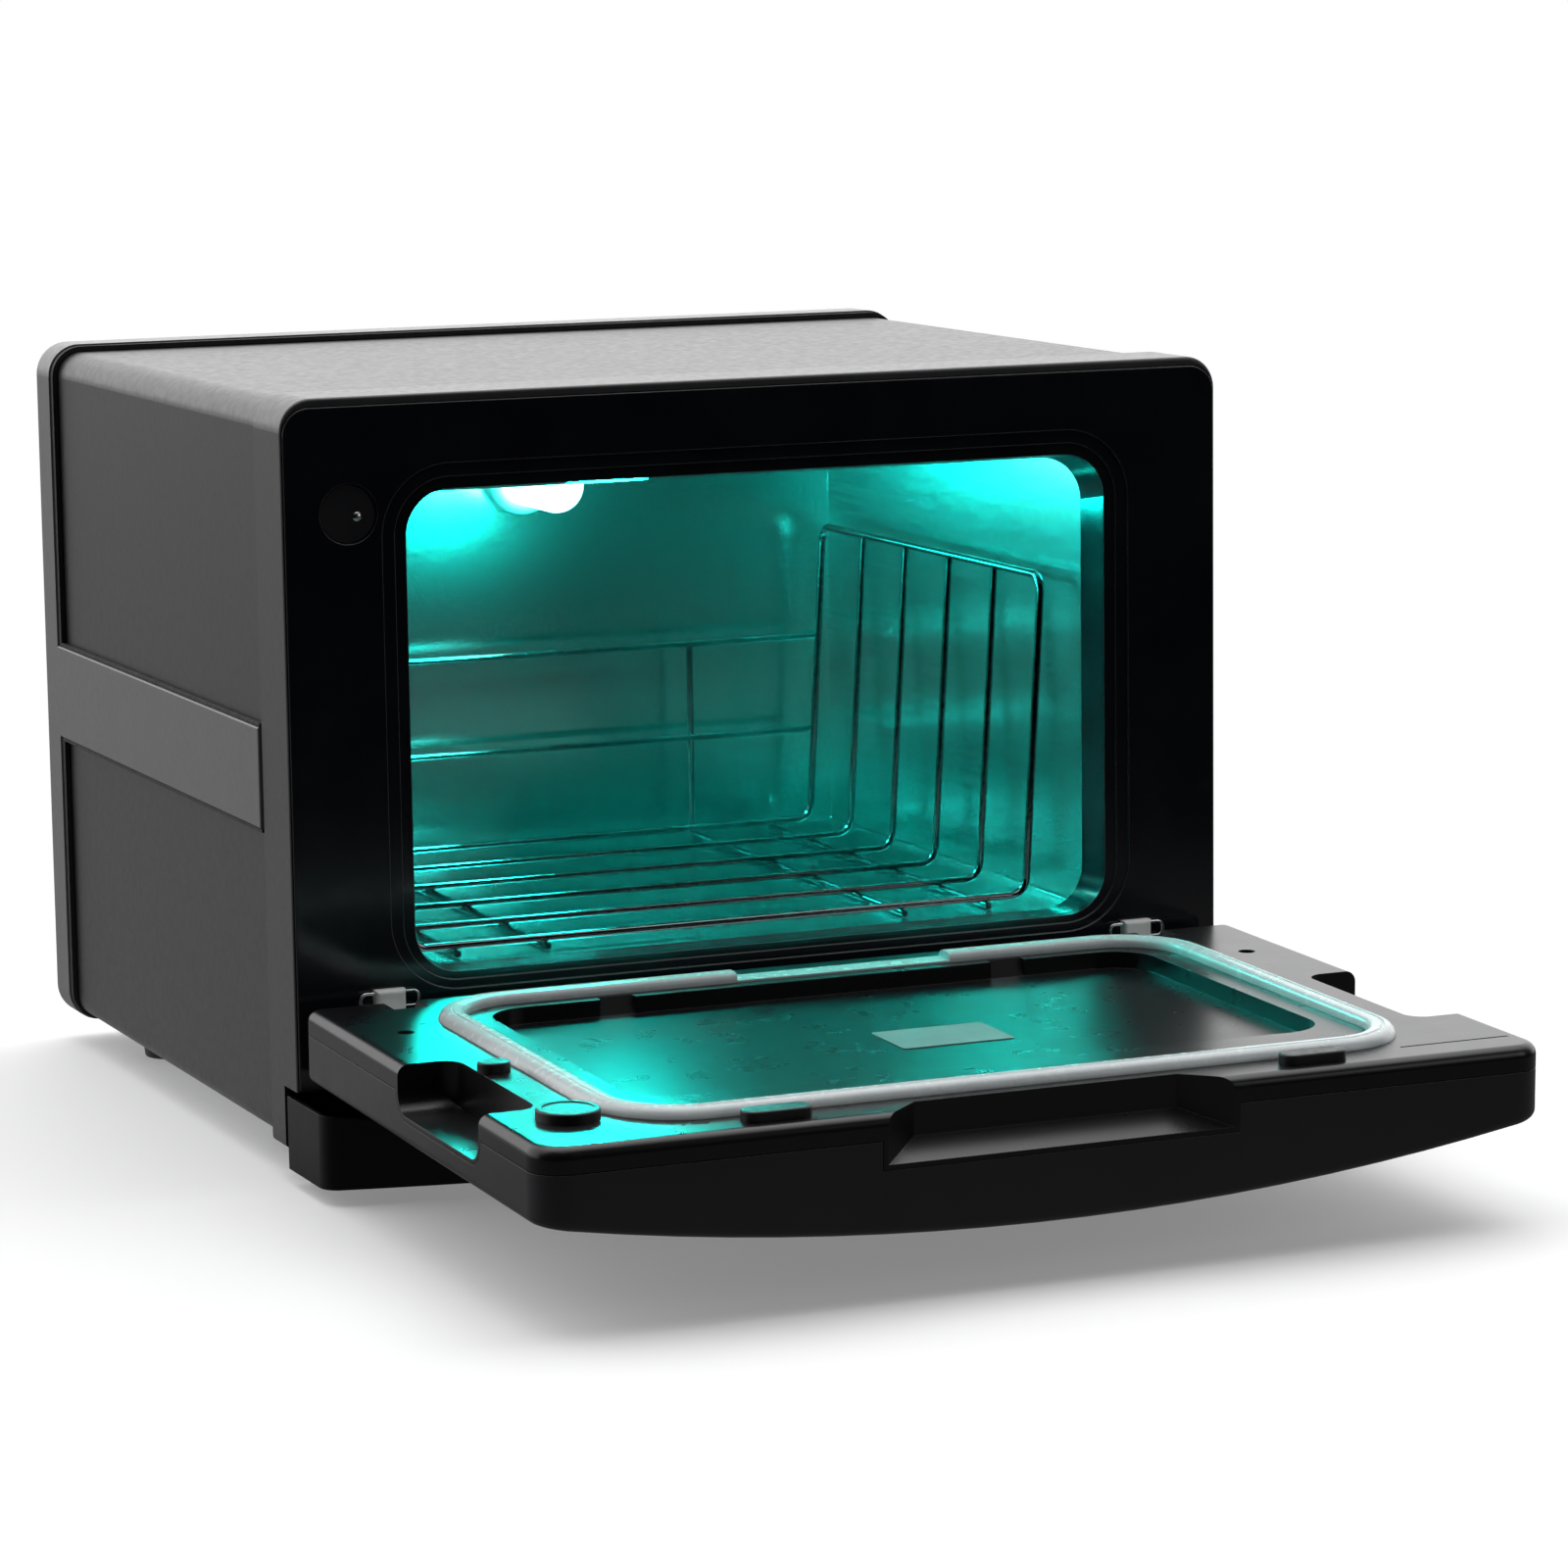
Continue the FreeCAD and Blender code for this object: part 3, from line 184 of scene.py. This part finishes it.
def paint_edge_highlights(material, principled, edge, color):
    """Paints highlights on sharp edges as thin light lines in the base colour: the more the rounded normal turns,
    the lighter.
    """
    least_turn = 0.15
    full_turn = 0.6
    tree = material.node_tree
    bevel = tree.nodes.new("ShaderNodeBevel")
    bevel.inputs["Radius"].default_value = edge * MM
    geometry = tree.nodes.new("ShaderNodeNewGeometry")
    turn = tree.nodes.new("ShaderNodeVectorMath")
    turn.operation = "DISTANCE"
    tree.links.new(bevel.outputs["Normal"], turn.inputs[0])
    tree.links.new(geometry.outputs["Normal"], turn.inputs[1])
    spread_turn = tree.nodes.new("ShaderNodeMapRange")
    spread_turn.inputs["From Min"].default_value = least_turn
    spread_turn.inputs["From Max"].default_value = full_turn
    tree.links.new(turn.outputs["Value"], spread_turn.inputs["Value"])
    mix = tree.nodes.new("ShaderNodeMix")
    mix.data_type = "RGBA"
    factor, plain_color, edge_highlight_color = mix.inputs[0], mix.inputs[6], mix.inputs[7]
    mixed_color = mix.outputs[2]
    edge_highlight_color.default_value = (*color, 1)
    base = principled.inputs["Base Color"]
    tree.links.new(base.links[0].from_socket, plain_color)
    tree.links.new(spread_turn.outputs["Result"], factor)
    tree.links.new(mixed_color, base)


def scaled(color, factor):
    return tuple(channel * factor for channel in color)


def coated_metal(name, color, roughness):
    """Powder coat: fine orange-peel grain with slight mottling."""
    material, principled = shader(name, color, roughness)
    mottle = noise(material, scale=60)
    vary_color(material, principled, mottle, dark=scaled(color, 0.96), light=scaled(color, 1.04))
    patches = noise(material, scale=240)
    vary_roughness(material, principled, patches, low=roughness - 0.04, high=roughness + 0.05)
    peel = noise(material, scale=1000, detail=2)
    add_bump(material, principled, peel, strength=0.12, distance=0.1 * MM)
    return material


def moulded_plastic(name, color, roughness, grain=0.1, haze=0.05, shine=0.5):
    """Satin moulding with a fine sparked grain and slight haze."""
    material, principled = shader(name, color, roughness)
    principled.inputs["Specular IOR Level"].default_value = shine
    mottle = noise(material, scale=35)
    vary_color(material, principled, mottle, dark=scaled(color, 0.9), light=scaled(color, 1.1))
    patches = noise(material, scale=60)
    vary_roughness(material, principled, patches, low=roughness - haze, high=roughness + haze)
    sparked = noise(material, scale=800, detail=2)
    add_bump(material, principled, sparked, strength=grain, distance=0.05 * MM)
    return material


def gloss_plastic(name, color):
    """Polished black moulding with faint handling haze, and painted highlights along its sharp edges."""
    material, principled = shader(name, color, roughness=0.08)
    mottle = noise(material, scale=20)
    vary_color(material, principled, mottle, dark=scaled(color, 0.8), light=scaled(color, 1.2))
    handling = noise(material, scale=45, detail=6)
    vary_roughness(material, principled, handling, low=0.10, high=0.20)
    waves = noise(material, scale=14)
    add_bump(material, principled, waves, strength=0.02, distance=0.3 * MM, edge=0.6)
    # Painted highlight: a lighter base colour along sharp edges gives thin light lines in place of reflections
    paint_edge_highlights(material, principled, edge=0.6, color=(0.16, 0.16, 0.17))
    return material


def rolled_metal(name, color, roughness, stretch):
    """Rolled sheet with fine lines along one direction."""
    material, principled = shader(name, color, roughness, metallic=1.0)
    lines = noise(material, scale=500, stretch=stretch)
    vary_color(material, principled, lines, dark=scaled(color, 0.97), light=color)
    vary_roughness(material, principled, lines, low=roughness - 0.015, high=roughness + 0.02)
    waves = noise(material, scale=7, detail=2)
    add_bump(material, principled, waves, strength=0.04, distance=1.0 * MM)
    return material


def plated_wire(name, color):
    """Bright plated wire, duller in places."""
    material, principled = shader(name, color, roughness=0.12, metallic=1.0)
    patches = noise(material, scale=400)
    vary_roughness(material, principled, patches, low=0.07, high=0.2)
    mottle = noise(material, scale=90)
    vary_color(material, principled, mottle, dark=scaled(color, 0.85), light=color)
    return material


def rubber(name, color, roughness=0.7):
    """Matt rubber with a fine grain."""
    material, principled = shader(name, color, roughness)
    mottle = noise(material, scale=120)
    vary_color(material, principled, mottle, dark=scaled(color, 0.7), light=scaled(color, 1.3))
    patches = noise(material, scale=300)
    vary_roughness(material, principled, patches, low=roughness - 0.08, high=roughness + 0.1)
    grain = noise(material, scale=1800)
    add_bump(material, principled, grain, strength=0.2, distance=0.1 * MM)
    return material


def silicone(name, color):
    """Pale translucent silicone."""
    material, principled = shader(name, color, roughness=0.24)
    principled.inputs["Subsurface Weight"].default_value = 0.5
    principled.inputs["Subsurface Radius"].default_value = (0.004, 0.007, 0.007)
    mottle = noise(material, scale=50)
    vary_color(material, principled, mottle, dark=scaled(color, 0.93), light=color)
    patches = noise(material, scale=220)
    vary_roughness(material, principled, patches, low=0.2, high=0.3)
    waves = noise(material, scale=300)
    add_bump(material, principled, waves, strength=0.05, distance=0.15 * MM)
    return material


def fibre(name, color):
    """Matt fibre or cast foam with an open grain."""
    material, principled = shader(name, color, roughness=0.9)
    mottle = noise(material, scale=300, detail=6)
    vary_color(material, principled, mottle, dark=scaled(color, 0.75), light=color)
    strands = noise(material, scale=500, detail=6)
    add_bump(material, principled, strands, strength=0.6, distance=1.0 * MM)
    return material


def lit_glass(name):
    """Frosted lamp glass, lit from within."""
    material, principled = shader(name, (0.9, 1.0, 0.98), roughness=0.3)
    mottle = noise(material, scale=200)
    vary_color(material, principled, mottle, dark=(0.82, 0.96, 0.93), light=(0.92, 1.0, 0.98))
    principled.inputs["Emission Color"].default_value = (0.55, 1.0, 0.93, 1)
    principled.inputs["Emission Strength"].default_value = 3
    return material


def make_finishes():
    """Finishes by material slot, or by node where a node has its own."""
    return {
        "wrapper": coated_metal("wrapper_coat", (0.026, 0.025, 0.028), roughness=0.34),
        "frame": coated_metal("frame_coat", (0.042, 0.041, 0.044), roughness=0.32),
        "rear_frame": coated_metal("rear_frame_coat", (0.15, 0.147, 0.154), roughness=0.34),
        "bezel": gloss_plastic("bezel_gloss", (0.008, 0.009, 0.012)),
        "black_plastic": moulded_plastic("black_moulding", (0.014, 0.014, 0.017), roughness=0.34,
                                         grain=0.03, haze=0.03),
        "drip_tray": moulded_plastic("tray_moulding", (0.003, 0.003, 0.004), roughness=0.42,
                                     grain=0.03, haze=0.03, shine=0.2),
        "door_inner_panel": moulded_plastic("door_panel_moulding", (0.006, 0.006, 0.007), roughness=0.28,
                                            grain=0.004, haze=0.01, shine=0.36),
        "seal": rubber("seal_rubber", (0.005, 0.005, 0.005), roughness=0.6),
        # Liner: pale sheet metal whose base colour is tinted teal; the tint is painted light from the lamp's teal
        # glow
        "liner": rolled_metal("liner_sheet_painted_teal", (0.62, 0.77, 0.76), roughness=0.2, stretch=(1, 0.03, 1)),
        "zinc_sheet": rolled_metal("zinc_sheet", (0.55, 0.56, 0.58), roughness=0.4, stretch=(0.05, 1, 1)),
        "insulation": fibre("fibre_blanket", (0.86, 0.84, 0.78)),
        "heater": rubber("heater_mat", (0.45, 0.16, 0.07)),
        "chrome_wire": plated_wire("plated_wire", (0.3, 0.31, 0.32)),
        "lamp": lit_glass("lamp_glass"),
        "white_moulding": moulded_plastic("white_moulding", (0.80, 0.80, 0.78), roughness=0.45, grain=0.08),
        "nylon": moulded_plastic("white_nylon", (0.86, 0.86, 0.84), roughness=0.42, grain=0.08),
        "steel": rolled_metal("bright_steel", (0.62, 0.62, 0.64), roughness=0.25, stretch=(1, 0.2, 1)),
        "door_screws": rolled_metal("blackened_steel", (0.03, 0.03, 0.032), roughness=0.4,
                                    stretch=(1, 0.2, 1)),
        "rubber": rubber("black_rubber", (0.008, 0.008, 0.009), roughness=0.45),
        "silicone": silicone("gasket_silicone", (0.56, 0.6, 0.61)),
        "foam": fibre("door_foam_fill", (0.88, 0.84, 0.68)),
        "electrical": moulded_plastic("electrical_moulding", (0.02, 0.02, 0.022), roughness=0.4),
        "leads": rubber("lead_cover", (0.62, 0.63, 0.62), roughness=0.5),
        "plate": moulded_plastic("bare_foil", (0.16, 0.2, 0.2), roughness=0.5, grain=0.05),
    }


def finish_nodes(finishes):
    """Gives each node of the frame its own finish, or else that of its material slot."""
    for row in frame["record"]["subparts"]:
        node = frame["nodes"][row["node"]]
        finish = finishes.get(row["node"], finishes[row["material_slot"]])
        for slot in node.material_slots:
            slot.material = finish


# Pieces

def mesh_object(name, points, faces, finish, body):
    mesh = bpy.data.meshes.new(name)
    mesh.from_pydata(points, [], faces)
    work = bmesh.new()
    work.from_mesh(mesh)
    bmesh.ops.recalc_face_normals(work, faces=work.faces)
    work.to_mesh(mesh)
    work.free()
    mesh.polygons.foreach_set("use_smooth", [True] * len(mesh.polygons))
    mesh.set_sharp_from_angle(angle=SMOOTH_ANGLE)
    piece = bpy.data.objects.new(name, mesh)
    bpy.context.scene.collection.objects.link(piece)
    mesh.materials.append(finish)
    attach(piece, body)
    return piece


def turn_door(point, angle):
    """Turns a point about the door's hinge; the closed door turned by open_angle lies open."""
    turn = Matrix.Rotation(angle, 4, "X")
    return hinge_point + turn @ (Vector(point) - hinge_point)


def gasket_loop(half_width, low, high, radius):
    """Points round the gasket as (x, z, in the drain gap), which is in the lower side."""
    centres = [(half_width - radius, low + radius, -90), (half_width - radius, high - radius, 0),
               (-half_width + radius, high - radius, 90), (-half_width + radius, low + radius, 180)]
    loop = []
    for x, z, start in centres:
        for step in range(CORNER_STEPS + 1):
            angle = math.radians(start + 90 * step / CORNER_STEPS)
            loop.append((x + radius * math.cos(angle), z + radius * math.sin(angle), False))
    loop += [(DRAIN_LEFT, low, False), (DRAIN_LEFT, low, True)]
    loop += [(DRAIN_RIGHT, low, True), (DRAIN_RIGHT, low, False)]
    return loop


def closed_limits(node):
    """Lowest and highest corners of a door node in the closed pose."""
    points = [turn_door(v.co, -open_angle) for v in frame["nodes"][node].data.vertices]
    low = [min(p[i] for p in points) for i in range(3)]
    high = [max(p[i] for p in points) for i in range(3)]
    return low, high


def ring_faces(rings, count):
    """Four-sided faces between each closed ring of points and the next, and from the last to the first."""
    faces = []
    for ring in range(rings):
        first = ring * count
        second = (ring + 1) % rings * count
        for step in range(count):
            after = (step + 1) % count
            faces.append((first + step, first + after, second + after, second + step))
    return faces


def make_gasket(finishes):
    """The gasket with its rounded crown and groove, in place of the plain ring."""
    low, high = closed_limits("door_gasket")
    points = []
    for inward, height in GASKET_SECTION:
        inset = inward * MM
        full = height * MM
        loop = gasket_loop(high[0] - inset, low[2] + inset, high[2] - inset, GASKET_CORNER - inset)
        for x, z, in_gap in loop:
            rise = min(full, DRAIN_WEB) if in_gap else full
            points.append(turn_door((x, low[1] + rise, z), open_angle))
    gasket = mesh_object("gasket_lips", points, ring_faces(len(GASKET_SECTION), len(loop)),
                         finishes["silicone"], "door")
    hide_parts("door_gasket")


# Stage

def map_value(tree, value, from_low, from_high, to_low, to_high):
    """Maps from_low..from_high smoothly onto to_low..to_high, and holds the end values outside."""
    node = tree.nodes.new("ShaderNodeMapRange")
    node.interpolation_type = "SMOOTHSTEP"
    node.inputs["From Min"].default_value = from_low
    node.inputs["From Max"].default_value = from_high
    node.inputs["To Min"].default_value = to_low
    node.inputs["To Max"].default_value = to_high
    tree.links.new(value, node.inputs["Value"])
    return node.outputs["Result"]


def mix_shaders(tree, factor, first, second):
    mix = tree.nodes.new("ShaderNodeMixShader")
    tree.links.new(factor, mix.inputs["Fac"])
    tree.links.new(first.outputs[0], mix.inputs[1])
    tree.links.new(second.outputs[0], mix.inputs[2])
    return mix


def larger(tree, first, second):
    node = tree.nodes.new("ShaderNodeMath")
    node.operation = "MAXIMUM"
    tree.links.new(first, node.inputs[0])
    tree.links.new(second, node.inputs[1])
    return node.outputs[0]


def make_floor():
    """Pale floor: it keeps the object's shadow, is plain white further out, and mirrors dark in front."""
    mesh = bpy.data.meshes.new("floor")
    corners = [(-FLOOR_HALF, -FLOOR_HALF, 0), (FLOOR_HALF, -FLOOR_HALF, 0),
               (FLOOR_HALF, FLOOR_HALF, 0), (-FLOOR_HALF, FLOOR_HALF, 0)]
    mesh.from_pydata(corners, [], [(0, 1, 2, 3)])
    floor = bpy.data.objects.new("floor", mesh)
    bpy.context.scene.collection.objects.link(floor)
    material, principled = shader("pale_floor", FLOOR_COLOR, FLOOR_ROUGHNESS)
    principled.inputs["Specular IOR Level"].default_value = FLOOR_SHINE
    tree = material.node_tree
    coordinates = tree.nodes.new("ShaderNodeTexCoord")
    place = tree.nodes.new("ShaderNodeSeparateXYZ")
    distance = tree.nodes.new("ShaderNodeVectorMath")
    distance.operation = "LENGTH"
    tree.links.new(coordinates.outputs["Object"], place.inputs[0])
    tree.links.new(coordinates.outputs["Object"], distance.inputs[0])
    white = tree.nodes.new("ShaderNodeEmission")
    fade = map_value(tree, distance.outputs["Value"], *SHADOW_FADE, to_low=SHADOW_LIFT, to_high=1)
    lit = mix_shaders(tree, fade, principled, white)
    behind = map_value(tree, place.outputs["Y"], *MIRROR_BEHIND, to_low=0, to_high=MIRROR_BEHIND_LIGHT)
    close = map_value(tree, distance.outputs["Value"], *MIRROR_CLOSE, to_low=MIRROR_CLOSE_LIGHT, to_high=0)
    mirrored = tree.nodes.new("ShaderNodeEmission")
    tree.links.new(larger(tree, behind, close), mirrored.inputs["Strength"])
    path = tree.nodes.new("ShaderNodeLightPath")
    whole = mix_shaders(tree, path.outputs["Is Camera Ray"], mirrored, lit)
    tree.links.new(whole.outputs[0], tree.nodes["Material Output"].inputs["Surface"])
    mesh.materials.append(material)


def make_world():
    """Studio light: bright from behind, above and the sides, dark in front; white where seen directly."""
    world = bpy.data.worlds.new("studio")
    bpy.context.scene.world = world
    world.use_nodes = True
    tree = world.node_tree
    background = tree.nodes["Background"]
    background.inputs["Color"].default_value = (1, 1, 1, 1)
    coordinates = tree.nodes.new("ShaderNodeTexCoord")
    direction = tree.nodes.new("ShaderNodeSeparateXYZ")
    tree.links.new(coordinates.outputs["Generated"], direction.inputs[0])
    behind = map_value(tree, direction.outputs["Y"], *BEHIND_RISE, to_low=0, to_high=SURROUND_LIGHT)
    overhead = map_value(tree, direction.outputs["Z"], *OVERHEAD_RISE, to_low=0, to_high=SURROUND_LIGHT)
    not_in_front = map_value(tree, direction.outputs["Y"], *FRONT_FADE, to_low=0, to_high=1)
    above = tree.nodes.new("ShaderNodeMath")
    above.operation = "MULTIPLY"
    tree.links.new(overhead, above.inputs[0])
    tree.links.new(not_in_front, above.inputs[1])
    path = tree.nodes.new("ShaderNodeLightPath")
    seen = larger(tree, path.outputs["Is Camera Ray"], path.outputs["Is Transmission Ray"])
    strength = tree.nodes.new("ShaderNodeMix")
    strength.inputs["B"].default_value = 1.0
    tree.links.new(seen, strength.inputs["Factor"])
    tree.links.new(larger(tree, behind, above.outputs[0]), strength.inputs["A"])
    tree.links.new(strength.outputs["Result"], background.inputs["Strength"])


def area_light(name, place, target, size, power):
    data = bpy.data.lights.new(name, "AREA")
    data.size = size
    data.energy = power
    light = bpy.data.objects.new(name, data)
    light.location = place
    light.rotation_euler = (Vector(target) - Vector(place)).to_track_quat("-Z", "Y").to_euler()
    bpy.context.scene.collection.objects.link(light)


def chamber_glow():
    """The lamp's light, a little in front of the lamp so that it fills the chamber."""
    glow = bpy.data.lights.new("chamber_glow", "POINT")
    glow.color = GLOW_COLOR
    glow.energy = GLOW_POWER
    glow.shadow_soft_size = GLOW_RADIUS
    light = bpy.data.objects.new("chamber_glow", glow)
    middle_x = (lamp_low.x + lamp_high.x) / 2
    middle_z = (lamp_low.z + lamp_high.z) / 2
    light.location = (middle_x, lamp_low.y - GLOW_REACH, middle_z)
    bpy.context.scene.collection.objects.link(light)


def make_lights():
    for name, place, target, size, power in SOFT_LIGHTS:
        area_light(name, place, target, size, power)
    chamber_glow()


def make_camera():
    data = bpy.data.cameras.new("photo_camera")
    data.sensor_width = SENSOR_MM
    data.lens = SENSOR_MM * FOCAL_PIXELS / IMAGE_PIXELS
    camera = bpy.data.objects.new("photo_camera", data)
    level = Vector((math.cos(CAMERA_YAW), math.sin(CAMERA_YAW), 0))
    ahead = math.cos(CAMERA_PITCH)
    down = math.sin(CAMERA_PITCH)
    forward = Vector((-math.sin(CAMERA_YAW) * ahead, math.cos(CAMERA_YAW) * ahead, -down))
    upward = level.cross(forward)
    right = math.cos(CAMERA_ROLL) * level + math.sin(CAMERA_ROLL) * upward
    up = -math.sin(CAMERA_ROLL) * level + math.cos(CAMERA_ROLL) * upward
    turn = Matrix((right, up, -forward)).transposed().to_4x4()
    camera.matrix_world = Matrix.Translation(CAMERA_PLACE + Vector((0, front_y, 0))) @ turn
    bpy.context.scene.collection.objects.link(camera)
    bpy.context.scene.camera = camera


finishes = make_finishes()
finish_nodes(finishes)
make_gasket(finishes)
make_floor()
make_world()
make_lights()
make_camera()
bpy.context.scene.view_settings.view_transform = "Standard"
